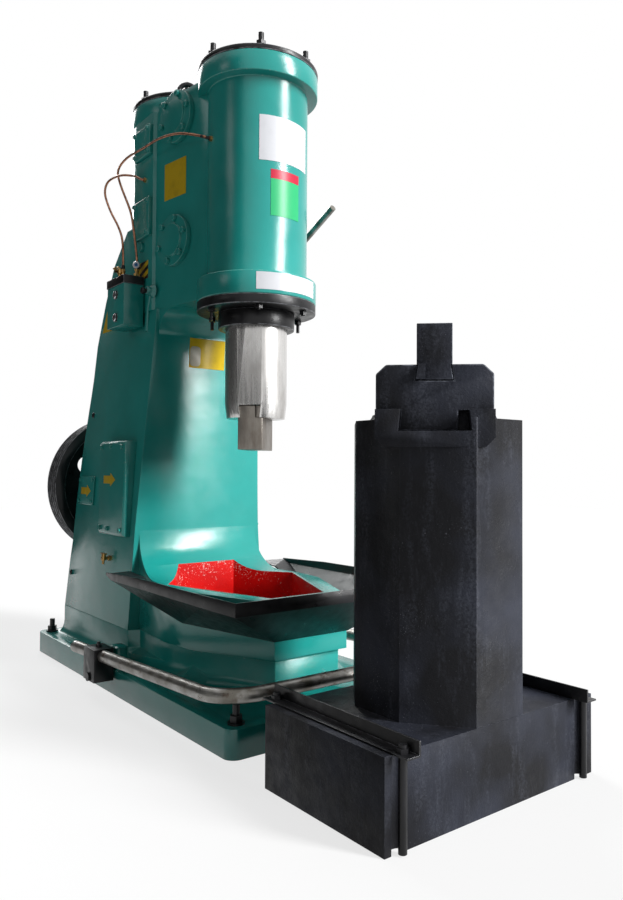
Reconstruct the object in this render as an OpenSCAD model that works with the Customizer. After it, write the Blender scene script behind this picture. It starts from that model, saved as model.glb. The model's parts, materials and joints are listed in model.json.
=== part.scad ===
// Pneumatic forging hammer: C-frame air hammer with its anvil set standing apart in front.
// Units are millimetres. Front is -Y, the machine's right is +X, the floor is z = 0.
// Lengths below are laid out from the ram axis, and the whole part is moved back so that
// the origin lies on the bed's underside, datum_back behind the ram axis.

/* [Bed] */
// width of the bed plate
bed_w = 876; // [800:1:950]
// front edge of the bed ahead of the ram axis
bed_front = 555; // [500:1:620]
// back edge of the bed behind the ram axis
bed_back = 1310; // [1200:1:1400]
// thickness of the bed plate
bed_t = 96; // [80:1:120]
// corner radius of the bed plate
bed_r = 42; // [20:1:80]
// foundation stud diameter
stud_d = 24; // [16:1:36]
// distance of the studs from the bed's edges
stud_inset = 54; // [40:1:80]

/* [Frame] */
// half width of the column at the bed
col_hw = 344; // [300:1:380]
// taper of the column's sides, mm per mm of height
col_taper = 0.065; // [0.0:0.005:0.1]
// throat wall behind the ram axis, low down
throat_y = 458; // [400:1:500]
// throat wall behind the ram axis, high up
throat_y_top = 401; // [360:1:450]
// radius at the foot of the throat
throat_r = 190; // [120:1:220]
// radius at the head of the throat
head_r = 110; // [60:1:150]
// height of the collar's top
collar_top = 450; // [400:1:500]
// fall of the collar's top towards the front
deck_fall = 14; // [0:1:30]
// height of the head's underside
head_z = 1588; // [1500:1:1650]

/* [Cylinders] */
// outer radius of the ram cylinder
ram_cyl_r = 202; // [180:0.5:215]
// radius of the ram cylinder's top flange
flange_r = 242; // [220:1:260]
// radius of the ram cylinder's lower flange
low_flange_r = 240; // [225:1:255]
// top face of the ram cylinder's lower flange
low_flange_z = 1656; // [1640:1:1700]
// underside of the ram cylinder's top flange
flange_z = 2415; // [2350:1:2450]
// top face of the ram cylinder
cyl_top = 2495; // [2450:1:2550]
// underside of the ram cylinder's lower flange
cyl_low = 1568; // [1540:1:1600]
// half width of the cylinder block behind its slanting sides
block_hw = 254; // [245:1:262]
// compressor cylinder axis behind the ram axis
comp_y = 598; // [550:1:650]
// radius of the compressor cylinder's flange
comp_r = 255; // [230:1:280]
// underside of the compressor cylinder's flange
comp_z = 2450; // [2400:1:2500]
// thickness of the compressor cylinder's flange
comp_t = 84; // [60:1:110]
// thickness of both cylinder covers
cover_t = 20; // [12:1:30]
// thickness of the gland's ring
ring_t = 37; // [25:1:50]
// outer radius of the gland's collar
gland_r = 153; // [146:1:175]
// height of the gland's collar
gland_h = 65; // [50:1:90]

/* [Ram and dies] */
// ram radius
ram_r = 124; // [110:0.5:130]
// underside of the ram as it hangs
ram_z = 1108; // [1050:1:1200]
// length of the ram
ram_l = 1080; // [900:1:1200]
// half distance across the ram's two guide flats
ram_flat = 114; // [108:0.5:120]
// running gap between the ram and its guide
ram_gap = 0.3; // [0.1:0.1:1]
// width of the dies
die_w = 97; // [85:1:110]
// length of the dies
die_l = 204; // [180:1:230]
// height of the top die below the ram
die_h = 126; // [110:1:150]

/* [Drive and controls] */
// height of the pulley's axis
pulley_z = 814; // [780:1:850]
// pulley radius
pulley_r = 366; // [340:1:380]
// pulley width
pulley_w = 120; // [100:1:150]
// front face of the pulley behind the ram axis
pulley_y = 1300; // [1280:1:1360]
// treadle pipe diameter
pipe_d = 48; // [42:1:60]
// half width of the treadle ring, at the pipe's centre
treadle_hw = 488; // [470:1:520]
// bend radius of the treadle ring
treadle_r = 140; // [100:1:180]

/* [Anvil] */
// anvil base width
anvil_w = 838; // [790:1:870]
// anvil base depth
anvil_d = 505; // [470:1:540]
// anvil base height
anvil_h = 235; // [200:1:260]
// anvil centre, to the right of the machine's centre plane
anvil_x = -36; // [-100:1:0]
// anvil centre ahead of the ram axis
anvil_y = 1030; // [1000:1:1100]
// height of the anvil's shoulders
shoulder_z = 1046; // [1000:1:1100]
// height of the anvil's top boss
boss_z = 1068; // [1040:1:1120]
// height of the sow block's top
sow_z = 1194; // [1160:1:1230]
// length of the lower die
low_die_l = 384; // [300:1:400]
// height of the lower die's working face
lower_die_z = 1306; // [1280:1:1340]

/* [Hidden] */
$fn = 96;
datum_back = 600;
// treadle_hw is given for a bed 876 wide, and the ring keeps its distance from the bed
ring_hw = treadle_hw + (bed_w - 876) / 2;
e = 0.01;
black = [0.06, 0.06, 0.065];
green = [0.05, 0.42, 0.36];
steel = [0.62, 0.62, 0.60];
brass_c = [0.72, 0.55, 0.25];
copper_c = [0.72, 0.42, 0.26];
grey = [0.55, 0.55, 0.54];
bore_gap = 0.06; // running clearance of spindle and pins, on the radius
seat_gap = 0.2; // clearance of seats on slanting or round walls
tube_gap = 0.3; // clearance of the oil pipes' ends

// outline of the anvil opening, front to back, right half
open_pts = [[120, -300], [298, 160], [137, 391]];
// the bed's opening is a little wider than the frame's
open_b = [for (p = open_pts) [p[0] + 14, p[1] < 0 ? p[1] - 14 : p[1] + 8]];
// outline of the collar round the anvil, and of the band below it, right half
collar_pts = [[162, -388], [318, -5], [320, 170], [288, throat_y]];
band_pts = [[142, -364], [295, -18], [310, 170], [286, throat_y]];
// foot flare: height, reach round the collar, reach round the column
flare = [[bed_t, 88, 20], [99, 64, 16], [106, 42, 11], [118, 22, 6], [134, 8, 2]];
flare_z = 152; // height at which the foot's flare has died out
foot_z = 226; // top of the foot
collar_z = 238; // lower edge of the collar at the front
// back edge of the frame as seen from the side, [y, z]
back_pts = [[1220, foot_z], [1196, 449], [1179, 549], [1167, 747], [1141, 946], [1100, 1160],
    [1078, 1260], [1063, 1340], [1046, 1500], [1019, head_z]];
// rear slope of the cylinder block as seen from the side, [y, z]
slope_pts = [[1019, head_z], [852, 1857], [704, 1990]];
// plan of the cylinder block, right half
block_half = [[186, 70], [block_hw - 15, 433], [block_hw, 437], [block_hw, comp_y]];
pad_z = 2480; // top of the pad between the two cylinders
// valve covers on the block's slanting side, [y, z, r]
valve_list = [[275, 2374, 108], [287, 1858, 106]];

function mirror_pts(h) = concat(h, [for (i = [len(h) - 1:-1:0]) [-h[i][0], h[i][1]]]);
function unit(v) = v / norm(v);
// offset of a convex outline that runs counter-clockwise
function grow(p, d) = [for (i = [0:len(p) - 1]) let (a = p[(i + len(p) - 1) % len(p)], b = p[i],
    c = p[(i + 1) % len(p)], u = unit(b - a), w = unit(c - b), m = [u[1], -u[0]],
    n = [w[1], -w[0]]) b + d * (m + n) / (1 + m * n)];
function col_half(z) = col_hw - (z - bed_t) * col_taper;
// slanting side of the cylinder block: half width at y, and its angle
slant = (block_half[1][0] - block_half[0][0]) / (block_half[1][1] - block_half[0][1]);
function slant_x(y) = block_half[0][0] + (y - block_half[0][1]) * slant;

module at_datum() translate([0, -datum_back, 0]) children();
module diag() rotate([0, 0, -45]) children(); // local -Y then faces the front left corner
module side_prism(w) rotate([90, 0, 90]) linear_extrude(w, center = true) children();

// stack of outlines of equal count as one solid, for outlines that keep their order
module loft(rings, zs) {
    n = len(rings[0]);
    m = len(rings);
    polyhedron(
        points = [for (k = [0:m - 1]) for (p = rings[k]) [p[0], p[1], zs[k]]],
        faces = concat([[for (i = [n - 1:-1:0]) i]], [[for (i = [0:n - 1]) (m - 1) * n + i]],
            [for (k = [0:m - 2]) for (i = [0:n - 1])
                [k * n + i, k * n + (i + 1) % n, (k + 1) * n + (i + 1) % n, (k + 1) * n + i]]));
}

// round tube or rod along a list of points, as one polyhedron
function tangent(p, i) = unit(i == 0 ? p[1] - p[0] : i == len(p) - 1 ? p[i] - p[i - 1]
    : unit(p[i + 1] - p[i]) + unit(p[i] - p[i - 1]));
function frames(p, i = 0, u = undef, acc = []) = i == len(p) ? acc :
    let (t = tangent(p, i), s = u == undef ? (abs(t[2]) < 0.9 ? [0, 0, 1] : [1, 0, 0]) : u,
        a = unit(s - (s * t) * t), b = cross(t, a))
    frames(p, i + 1, a, concat(acc, [[p[i], a, b]]));
module sweep(p, d, n = 10) {
    f = frames(p);
    m = len(p);
    polyhedron(
        points = [for (k = f) for (j = [0:n - 1])
            k[0] + d / 2 * (cos(360 * j / n) * k[1] + sin(360 * j / n) * k[2])],
        faces = concat([[for (j = [n - 1:-1:0]) j]], [[for (j = [0:n - 1]) (m - 1) * n + j]],
            [for (k = [0:m - 2]) for (j = [0:n - 1])
                [k * n + j, k * n + (j + 1) % n, (k + 1) * n + (j + 1) % n, (k + 1) * n + j]]));
}
// smooth path through points: Catmull-Rom, s steps a span
function path(p, s = 4) = concat([for (i = [0:len(p) - 2]) for (j = [0:s - 1])
    let (t = j / s, a = p[max(i - 1, 0)], b = p[i], c = p[i + 1], d = p[min(i + 2, len(p) - 1)])
    0.5 * (2 * b + (c - a) * t + (2 * a - 5 * b + 4 * c - d) * t * t
        + (3 * b - a - 3 * c + d) * t * t * t)], [p[len(p) - 1]]);

module hex_nut(af, h) cylinder(d = af / cos(30), h = h, $fn = 6);

// ---- frame ----
module bed_outline() {
    x = bed_w / 2 - bed_r;
    for (y = [-bed_front + bed_r, bed_back - bed_r]) for (s = [-1, 1])
        translate([s * x, y]) circle(bed_r);
    translate([-bed_w / 2, -bed_front + bed_r])
        square([bed_w, bed_front + bed_back - 2 * bed_r]);
    translate([-x, -bed_front]) square([2 * x, bed_front + bed_back]);
}
module stud_at() for (s = [-1, 1]) for (y = [-bed_front + stud_inset, bed_back - stud_inset])
    translate([s * (bed_w / 2 - stud_inset), y, 0]) children();

module bed() color(green) at_datum() difference() {
    linear_extrude(bed_t) bed_outline();
    translate([0, 0, -1]) linear_extrude(bed_t + 2) polygon(mirror_pts(open_b));
    stud_at() translate([0, 0, -1]) cylinder(d = stud_d + 4, h = bed_t + 2, $fn = 32);
}

// foot of the frame, spreading towards the bed, right half from front to back
foot_low = mirror_pts([[142, -364], [295, -18], [311, 170], [334, 440], [336, 458], [336.5, 1222]]);
foot_top = mirror_pts([[142, -364], [295, -18], [310, 170], [286, 440], [334, 458], [336.5, 1222]]);
function foot_ring(f) = let (a = grow(foot_low, f[1]), b = grow(foot_low, f[2]), n = len(foot_low))
    [for (i = [0:n - 1]) i < 2 || i > n - 3 ? a[i] : b[i]];
module frame_foot() color(green) at_datum() difference() {
    loft(concat([for (f = flare) foot_ring(f)], [foot_top, foot_top]),
        concat([for (f = flare) f[0]], [flare_z, foot_z]));
    translate([0, 0, bed_t - 6]) linear_extrude(foot_z) polygon(mirror_pts(open_pts));
}

module taper_prism(y0, y1) translate([0, y1, 0]) rotate([90, 0, 0]) linear_extrude(y1 - y0)
    polygon([[-col_half(200), 200], [col_half(200), 200], [col_half(head_z + 60), head_z + 60],
        [-col_half(head_z + 60), head_z + 60]]);

module anvil_collar() color(green) at_datum() difference() {
    intersection() {
        union() {
            translate([0, 0, foot_z]) linear_extrude(500) polygon(mirror_pts(band_pts));
            // the collar's lower edge climbs along the sides towards the column
            intersection() {
                translate([0, 0, foot_z]) linear_extrude(500) polygon(mirror_pts(collar_pts));
                side_prism(800) polygon([[-400, collar_z], [-5, collar_z], [330, 392],
                    [throat_y, 430], [throat_y, 700], [-400, 700]]);
            }
        }
        side_prism(800) difference() {
            polygon([[-400, foot_z], [-400, collar_top - deck_fall], [150, collar_top],
                [throat_y - throat_r, collar_top], [throat_y - throat_r, collar_top + throat_r],
                [throat_y, collar_top + throat_r], [throat_y, foot_z]]);
            translate([throat_y - throat_r, collar_top + throat_r]) circle(throat_r, $fn = 128);
        }
        taper_prism(-420, throat_y);
    }
    translate([0, 0, 200]) linear_extrude(500) polygon(mirror_pts(open_pts));
}

module column() color(green) at_datum() intersection() {
    union() {
        side_prism(800) polygon(concat([[throat_y, foot_z], [throat_y, collar_top + throat_r],
            [throat_y_top, head_z - head_r], [throat_y_top, head_z]],
            [for (i = [len(back_pts) - 1:-1:0]) back_pts[i]]));
        // fillet under the head, as wide as the cylinder block above it
        intersection() {
            side_prism(800) difference() {
                translate([throat_y_top - head_r, head_z - head_r]) square([head_r + 20, head_r]);
                translate([throat_y_top - head_r, head_z - head_r]) circle(head_r);
            }
            translate([0, 0, head_z - head_r]) linear_extrude(head_r)
                polygon(mirror_pts([for (y = [throat_y_top - head_r, throat_y_top + 20])
                    [slant_x(y), y]]));
        }
    }
    taper_prism(200, 1300);
}

module block_plan() {
    polygon(mirror_pts(block_half));
    translate([0, comp_y]) circle(block_hw);
}
module cylinder_block() color(green) at_datum() difference() {
    union() {
        translate([0, 0, head_z]) linear_extrude(comp_z - head_z) block_plan();
        translate([0, 0, comp_z - e]) linear_extrude(pad_z - comp_z + e)
            polygon(mirror_pts([for (y = [block_half[0][1], 358, 420]) [slant_x(y), y]]));
        intersection() {
            side_prism(2 * block_hw) polygon(concat([[500, head_z]], slope_pts,
                [[500, slope_pts[2][1]]]));
            translate([0, 1100, 0]) rotate([90, 0, 0]) linear_extrude(700)
                polygon(mirror_pts([[col_half(head_z), head_z], [block_hw - 2, 1700],
                    [block_hw - 2, 2000]]));
        }
    }
    translate([0, 0, head_z - 50]) cylinder(r = ram_cyl_r, h = 1200);
    translate([0, 0, head_z - 50]) cylinder(r = low_flange_r, h = 50 + low_flange_z - head_z);
    translate([0, 0, flange_z]) cylinder(r = flange_r, h = 200);
    translate([0, 0, cyl_top]) cylinder(r = flange_r + 1 + seat_gap, h = 300);
    translate([0, comp_y, comp_z]) cylinder(r = comp_r, h = 200);
    // valve spindle bore for the hand lever
    translate([180, lev_y, lev_z]) rotate([0, 90, 0])
        cylinder(d = lev_d + 2 * bore_gap, h = 70, $fn = 48);
}

// ---- ram cylinder ----
module ram_cylinder() color(green) at_datum() difference() {
    union() {
        translate([0, 0, cyl_low]) cylinder(r = ram_cyl_r, h = cyl_top - cyl_low);
        translate([0, 0, cyl_low]) cylinder(r = low_flange_r, h = low_flange_z - cyl_low);
        translate([0, 0, flange_z]) cylinder(r = flange_r, h = cyl_top - flange_z);
    }
    translate([0, 0, cyl_low - 1]) cylinder(r = ram_r + 6, h = cyl_top - cyl_low - 14);
}
module ram_cylinder_cover() color(black) at_datum()
    translate([0, 0, cyl_top]) cylinder(r = flange_r + 1, h = cover_t);
module compressor_flange() color(green) at_datum()
    translate([0, comp_y, comp_z]) cylinder(r = comp_r, h = comp_t);
module compressor_cover() color(black) at_datum()
    translate([0, comp_y, comp_z + comp_t]) cylinder(r = comp_r + 1, h = cover_t);
// washer, nut and stud that holds a cylinder cover
module cover_stud() {
    cylinder(d = 56, h = 4);
    translate([0, 0, 4]) hex_nut(36, 18);
    cylinder(d = 22, h = 56, $fn = 24);
}
module cover_studs() color(black) at_datum() for (k = [0:5]) {
    rotate([0, 0, 60 * k]) translate([flange_r - 32, 0, cyl_top + cover_t]) cover_stud();
    translate([0, comp_y, comp_z + comp_t + cover_t]) rotate([0, 0, 60 * k])
        translate([comp_r - 37, 0, 0]) cover_stud();
}
eye_at = [-140, 350]; // lifting eye's place on the pad
eye_r = 36;
eye_d = 20;
module lifting_eye() color(black) at_datum() translate([eye_at[0], eye_at[1], pad_z]) {
    cylinder(d = 50, h = 8);
    cylinder(d = 30, h = 18);
    translate([0, 0, 8 + eye_r + eye_d / 2]) rotate([0, 90, 57]) rotate_extrude()
        translate([eye_r, 0]) circle(d = eye_d, $fn = 24);
}

module flat_bore(h, gap) intersection() {
    cylinder(r = ram_r + gap, h = h);
    diag() translate([-200, -ram_flat - gap, 0]) cube([400, 2 * (ram_flat + gap), h]);
}
ring_z = cyl_low - ring_t;
module gland_ring() color(black) at_datum() translate([0, 0, ring_z]) difference() {
    cylinder(r = low_flange_r - 1, h = ring_t);
    translate([0, 0, -1]) cylinder(r = ram_r + 4, h = ring_t + 2);
}
module gland_collar() color(black) at_datum() translate([0, 0, ring_z - gland_h]) difference() {
    cylinder(r = gland_r, h = gland_h);
    translate([0, 0, -1]) flat_bore(gland_h + 2, ram_gap);
}
// the two bolts at the front left and front right are shorter
module gland_bolts() color(steel) at_datum() for (k = [0:5]) rotate([0, 0, 60 * k])
    translate([low_flange_r - 34, 0, ring_z]) rotate([180, 0, 0]) {
        hex_nut(26, 16);
        cylinder(d = 14, h = k > 3 ? 20 : 50, $fn = 24);
    }

// ---- covers on the sides ----
// on the block's slanting side, with local Z pointing out of it
module on_side(s, y, z) mirror([s < 0 ? 1 : 0, 0, 0]) translate([slant_x(y), y, z])
    rotate([0, 0, -atan(slant)]) rotate([0, 90, 0]) children();
module valve_covers() color(green) at_datum() for (s = [-1, 1]) for (i = [0, 1]) {
    v = valve_list[i];
    on_side(s, v[0], v[1]) translate([0, 0, seat_gap]) difference() {
        union() {
            cylinder(r = v[2], h = 22);
            cylinder(r = v[2] - 38, h = 30);
            for (k = [0:5]) rotate([0, 0, 15 + 60 * k]) translate([v[2] - 17, 0, 22])
                hex_nut(24, 14);
        }
        if (s > 0 && i == 1) translate([0, 0, -1]) cylinder(d = 64, h = 40);
    }
}
module plate_box(y0, y1, z0, z1, t) translate([-block_hw - t, y0, z0]) {
    cube([t, y1 - y0, z1 - z0]);
    for (y = [16, y1 - y0 - 16]) for (z = [16, z1 - z0 - 16]) translate([0, y, z])
        rotate([0, -90, 0]) hex_nut(19, 10);
}
module side_plates() color(green) at_datum() for (s = [0, 1]) mirror([s, 0, 0]) {
    plate_box(440, 596, 2268, 2396, 18);
    plate_box(440, 596, 1914, 2080, 18);
    translate([-block_hw, 540, 1880]) rotate([0, -90, 0]) cylinder(d = 46, h = 14);
}

// ---- lubricator on the left side ----
lub = [-352, 501, 1524]; // outer front low corner
lub_s = [90, 180, 180]; // size below the lid
lid_t = 36;
sight_z = [137, 38]; // oil sights above its underside
module lubricator_box() color(green) at_datum() {
    translate(lub) cube(lub_s);
    // mounting bracket to the wall
    translate([lub[0] + lub_s[0], lub[1] + 30, lub[2] + 100])
        cube([8, 110, 60]);
    for (z = sight_z) translate([lub[0], lub[1] + 76, lub[2] + z]) rotate([0, -90, 0])
        cylinder(d = 34, h = 4);
}
module lubricator_lid() color(black) at_datum()
    translate([lub[0] - 3, lub[1] - 3, lub[2] + lub_s[2]]) cube([lub_s[0] + 3, lub_s[1] + 6, lid_t]);
lz = lub[2] + lub_s[2] + lid_t; // top of the lid
fit_a = [-279, 535]; // front oil pipe's fitting
fit_b = [-316, 598]; // rear oil pipe's fitting
fit_h = 44;
module lubricator_fittings() color(brass_c) at_datum() {
    for (f = [fit_a, fit_b]) translate([f[0], f[1], lz]) {
        hex_nut(24, 14);
        cylinder(d = 16, h = 30, $fn = 32);
        translate([0, 0, 30]) hex_nut(20, fit_h - 30);
    }
    translate([-290, 645, lz]) { cylinder(d = 20, h = 22); translate([0, 0, 22]) hex_nut(26, 10); }
}
// unions: on the ram cylinder's barrel at an angle from +X, and on the block's flat side
union_a = [174, 2205, 9]; // angle, height, length
union_b = [512, 2172, 8]; // y, height, length
module oil_unions() color(brass_c) at_datum() {
    rotate([0, 0, union_a[0]]) translate([ram_cyl_r + seat_gap, 0, union_a[1]])
        rotate([0, 90, 0]) cylinder(d = 22, h = union_a[2], $fn = 6);
    translate([-block_hw, union_b[0], union_b[1]]) rotate([0, -90, 0])
        cylinder(d = 22, h = union_b[2], $fn = 6);
}
pipe_top = lz + fit_h + tube_gap;
start_a = ram_cyl_r + seat_gap + union_a[2] + tube_gap; // distance from the ram axis
start_b = block_hw + union_b[2] + tube_gap; // distance from the centre plane
function radial(r) = [r * cos(union_a[0]), r * sin(union_a[0]), union_a[1]];
pipe_a = [[-220, 29, 2208], [-230, 44, 2215], [-262, 172, 2261], [-284, 308, 2281],
    [-294, 450, 2283], [-300, 610, 2289], [-303, 696, 2261], [-304, 672, 2193],
    [-302, 563, 2043], [-296, 540, 1964], [-285, 533, 1862], [-279, 535, 1812],
    [fit_a[0], fit_a[1], pipe_top + 14]];
pipe_b = [[-274, 520, 2175], [-284, 574, 2202], [-314, 650, 2219], [-320, 769, 2225],
    [-326, 792, 2176], [-326, 730, 2082], [-322, 642, 1984], [-319, 603, 1916],
    [-316, 597, 1826], [fit_b[0], fit_b[1], pipe_top + 14]];
// an oil pipe leaves its union and enters its fitting straight
module oil_pipe(from, route, f) sweep(concat(from, path(route, 4), [[f[0], f[1], pipe_top]]), 10, 10);
module oil_pipe_front() color(copper_c) at_datum()
    oil_pipe([radial(start_a), radial(start_a + 4)], pipe_a, fit_a);
module oil_pipe_rear() color(copper_c) at_datum()
    oil_pipe([for (x = [start_b, start_b + 4]) [-x, union_b[0], union_b[1]]], pipe_b, fit_b);

// ---- covers low on the left side, and their twins on the right ----
cover_y = [505, 783]; // access cover's front and back
cover_z = [612, 1026]; // its foot and top
cover_out = [34, 53]; // how far its face stands out of the wall, at the foot and at the top
cover_bevel = 11;
module access_cover() color(green) at_datum() for (s = [0, 1]) mirror([s, 0, 0]) {
    x = [for (i = [0, 1]) col_half(cover_z[i]) + cover_out[i]];
    intersection() {
        // the inner face follows the tapering wall
        translate([0, cover_y[1], 0]) rotate([90, 0, 0]) linear_extrude(cover_y[1] - cover_y[0])
            polygon([[col_half(cover_z[0]), cover_z[0]], [x[0] - cover_bevel, cover_z[0]],
                [x[0], cover_z[0] + cover_bevel], [x[1], cover_z[1] - cover_bevel],
                [x[1] - cover_bevel, cover_z[1]], [col_half(cover_z[1]), cover_z[1]]]);
        translate([0, 0, cover_z[0]]) linear_extrude(cover_z[1] - cover_z[0])
            polygon([[0, cover_y[0]], [x[0] - cover_bevel, cover_y[0]],
                [x[0], cover_y[0] + cover_bevel], [x[0], cover_y[1] - cover_bevel],
                [x[0] - cover_bevel, cover_y[1]], [0, cover_y[1]]]);
    }
}
module inspection_cover() color(green) at_datum() for (s = [0, 1]) mirror([s, 0, 0])
    translate([-col_half(798), 1030, 798]) rotate([0, atan(col_taper), 0])
        translate([-10, -92, -68]) cube([10, 184, 136]);
cock_z = 505;
module drain_cock() color(brass_c) at_datum() translate([-col_half(cock_z), 690, cock_z])
    rotate([0, atan(col_taper), 0]) {
        rotate([0, -90, 0]) cylinder(d = 24, h = 14, $fn = 6);
        rotate([0, -90, 0]) cylinder(d = 14, h = 44, $fn = 24);
        translate([-34, 0, -10]) cylinder(d = 20, h = 28, $fn = 24);
        translate([-34, 0, -26]) cylinder(d = 11, h = 20, $fn = 24);
        translate([-40, -22, 18]) cube([12, 44, 5]);
    }

// ---- scale tray round the collar: sloping sheets with an upright rim, right half ----
tray_t = 5;
low = [[322, 330, 458], [319, -6, 330], [163, -389, 306]]; // edge on the collar
crease = [[440, 380, 456], [440, -360, 452], [407, -530, 440]]; // where the rim is bent up
rim = [[440, 430, 476], [440, 108, 488], [440, -360, 489], [407, -530, 480]]; // its top
wing = [[326, 470, 468], [440, 430, 472]]; // flat end of the sheet beside the column
function other(p) = [-p[0], p[1], p[2]];
module sheet(p) hull() for (q = p) translate(q) cube(tray_t, center = true);
module scale_tray() color(black) at_datum() difference() {
    union() {
        for (s = [0, 1]) mirror([s, 0, 0]) {
            sheet([low[0], low[1], crease[0]]);
            sheet([low[1], crease[1], crease[0]]);
            sheet([low[1], low[2], crease[1]]);
            sheet([low[2], crease[2], crease[1]]);
            sheet([low[0], [300, 330, 454], [318, 180, 401]]);
            sheet([low[0], crease[0], wing[1], wing[0]]);
            sheet([crease[0], crease[1], rim[2], rim[1], rim[0]]);
            sheet([crease[1], crease[2], rim[3], rim[2]]);
        }
        sheet([low[2], crease[2], other(crease[2]), other(low[2])]);
        sheet([crease[2], rim[3], other(rim[3]), other(crease[2])]);
    }
    translate([0, 0, 200]) linear_extrude(600) polygon(mirror_pts(collar_pts));
    taper_prism(300, 700);
}

// ---- pulley and its shaft ----
module bearing_housing() color(green) at_datum() difference() {
    translate([0, 1120, pulley_z]) rotate([-90, 0, 0]) {
        cylinder(r = 175, h = 60);
        cylinder(r = 130, h = pulley_y - 24 - 1120);
    }
    // seat on the frame's sloping back
    side_prism(400) polygon(concat([[1000, 500]], [for (p = back_pts) if (p[1] < 1200) p],
        [[1000, 1200]]));
    translate([0, 1100, pulley_z]) rotate([-90, 0, 0]) cylinder(d = 96.1, h = 300);
}
module crankshaft() color(steel) at_datum() translate([0, 1180, pulley_z])
    rotate([-90, 0, 0]) {
        cylinder(d = 96, h = pulley_y + pulley_w - 1180);
        translate([0, 0, pulley_y + pulley_w - 1180]) hex_nut(110, 28);
        cylinder(d = 60, h = pulley_y + pulley_w + 50 - 1180);
    }
module pulley() color(black) at_datum() translate([0, pulley_y, pulley_z]) rotate([-90, 0, 0])
    difference() {
        rotate_extrude($fn = 128) difference() {
            union() {
                translate([48, 0]) square([48, pulley_w]);
                translate([60, 50]) square([pulley_r - 90, 22]);
                translate([pulley_r - 52, 0]) square([52, pulley_w]);
            }
            for (k = [0:3]) translate([pulley_r, 18 + 28 * k])
                polygon([[1, -10], [1, 10], [-18, 5], [-18, -5]]);
        }
        for (k = [0:5]) rotate([0, 0, 30 + 60 * k]) translate([218, 0, 40])
            cylinder(r = 44, h = 44, $fn = 48);
    }

// ---- treadle ----
piv_y = 390; // pivot behind the ram axis
piv_z = 78;
pin_d = 24;
tilt = 2.9; // rise of the ring towards the front
module ring_frame() translate([0, piv_y, 160]) rotate([-tilt, 0, 0]) children();
module half_ring(d, over = 0) {
    yf = -992; // ring's front, from the pivot
    translate([ring_hw, yf + treadle_r, 0]) rotate([-90, 0, 0])
        cylinder(d = d, h = 248 + over - yf - treadle_r, $fn = 48);
    translate([ring_hw - treadle_r, yf + treadle_r, 0]) rotate([0, 0, -90])
        rotate_extrude(angle = 90, $fn = 96) translate([treadle_r, 0]) circle(d = d, $fn = 48);
    translate([-1, yf, 0]) rotate([0, 90, 0])
        cylinder(d = d, h = ring_hw - treadle_r + 1, $fn = 48);
}
module treadle_pipe() color(grey) at_datum() ring_frame() difference() {
    for (s = [0, 1]) mirror([s, 0, 0]) half_ring(pipe_d);
    for (s = [0, 1]) mirror([s, 0, 0]) half_ring(pipe_d - 8, 1);
}
clamp_gap = 8; // between the bed's side and a clamp
clamp_w = 80;
clamp_x = bed_w / 2 + clamp_gap;
module treadle_clamps() color(black) at_datum() for (s = [0, 1]) mirror([s, 0, 0])
    difference() {
        union() {
            translate([clamp_x, piv_y - 56, 62]) cube([clamp_w, 112, 128]);
            translate([clamp_x + clamp_w / 2, piv_y, 190]) cylinder(d = 14, h = 20, $fn = 24);
            translate([clamp_x + clamp_w / 2, piv_y, 190]) hex_nut(22, 12);
        }
        ring_frame() translate([ring_hw, 100, 0]) rotate([90, 0, 0])
            cylinder(d = pipe_d, h = 200, $fn = 48);
        translate([clamp_x - 6, piv_y, piv_z]) rotate([0, 90, 0])
            cylinder(d = pin_d + 2 * bore_gap, h = 100, $fn = 48);
    }
module treadle_pins() color(black) at_datum() for (s = [0, 1]) mirror([s, 0, 0]) {
    translate([bed_w / 2, piv_y, piv_z]) rotate([0, 90, 0])
        cylinder(d = pin_d, h = clamp_gap + clamp_w + 4, $fn = 48);
    translate([clamp_x + clamp_w + seat_gap * 2, piv_y, piv_z]) rotate([0, 90, 0])
        cylinder(d = 34, h = 7, $fn = 48);
}

// ---- hand lever on the right ----
lev_y = valve_list[1][0];
lev_z = valve_list[1][1];
lev_d = 30; // spindle
module hand_lever() color(grey) at_datum() {
    translate([182, lev_y, lev_z]) rotate([0, 90, 0]) cylinder(d = lev_d, h = 180, $fn = 48);
    translate([312, lev_y, lev_z]) rotate([0, 90, 0]) cylinder(d = 64, h = 44);
    translate([335, lev_y, lev_z]) rotate([65.2, 0, 0]) translate([0, 0, 20])
        cylinder(d = 27, h = 375, $fn = 48);
}

// ---- ram and top die ----
module ram_slot(w, d, wide) {
    // dovetail slot along the ram's diagonal, open downwards, from the underside up by d
    rotate([90, 0, 0]) linear_extrude(400, center = true)
        polygon([[-w / 2, -1], [-wide / 2, d], [wide / 2, d], [w / 2, -1]]);
}
slot_w = 78;
slot_wide = 90;
slot_d = 50;
key_x = 20; // where the die's tenon meets the key
module ram() color(steel) at_datum() translate([0, 0, ram_z]) difference() {
    union() {
        intersection() {
            union() {
                cylinder(r1 = ram_r - 7, r2 = ram_r, h = 60);
                translate([0, 0, 60]) cylinder(r = ram_r, h = ram_l - 60);
            }
            diag() translate([-200, -ram_flat, 0]) cube([400, 2 * ram_flat, ram_l]);
        }
    }
    diag() ram_slot(slot_w, slot_d, slot_wide);
}
module top_die() color(steel) at_datum() translate([0, 0, ram_z]) diag() {
    translate([-die_w / 2, -die_l / 2, -die_h]) cube([die_w, die_l, die_h]);
    rotate([90, 0, 0]) linear_extrude(die_l, center = true)
        polygon([[-slot_w / 2 + 1, 0], [-slot_wide / 2 + 0.8, slot_d - 3],
            [key_x, slot_d - 3], [key_x, 0]]);
}
module ram_key() color(steel) at_datum() translate([0, 0, ram_z]) diag()
    rotate([90, 0, 0]) linear_extrude(2 * ram_flat - 40, center = true)
        polygon([[key_x, 0.3], [key_x, slot_d - 3], [slot_wide / 2 - 2, slot_d - 3],
            [slot_w / 2 - 0.6, 0.3]]);

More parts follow.
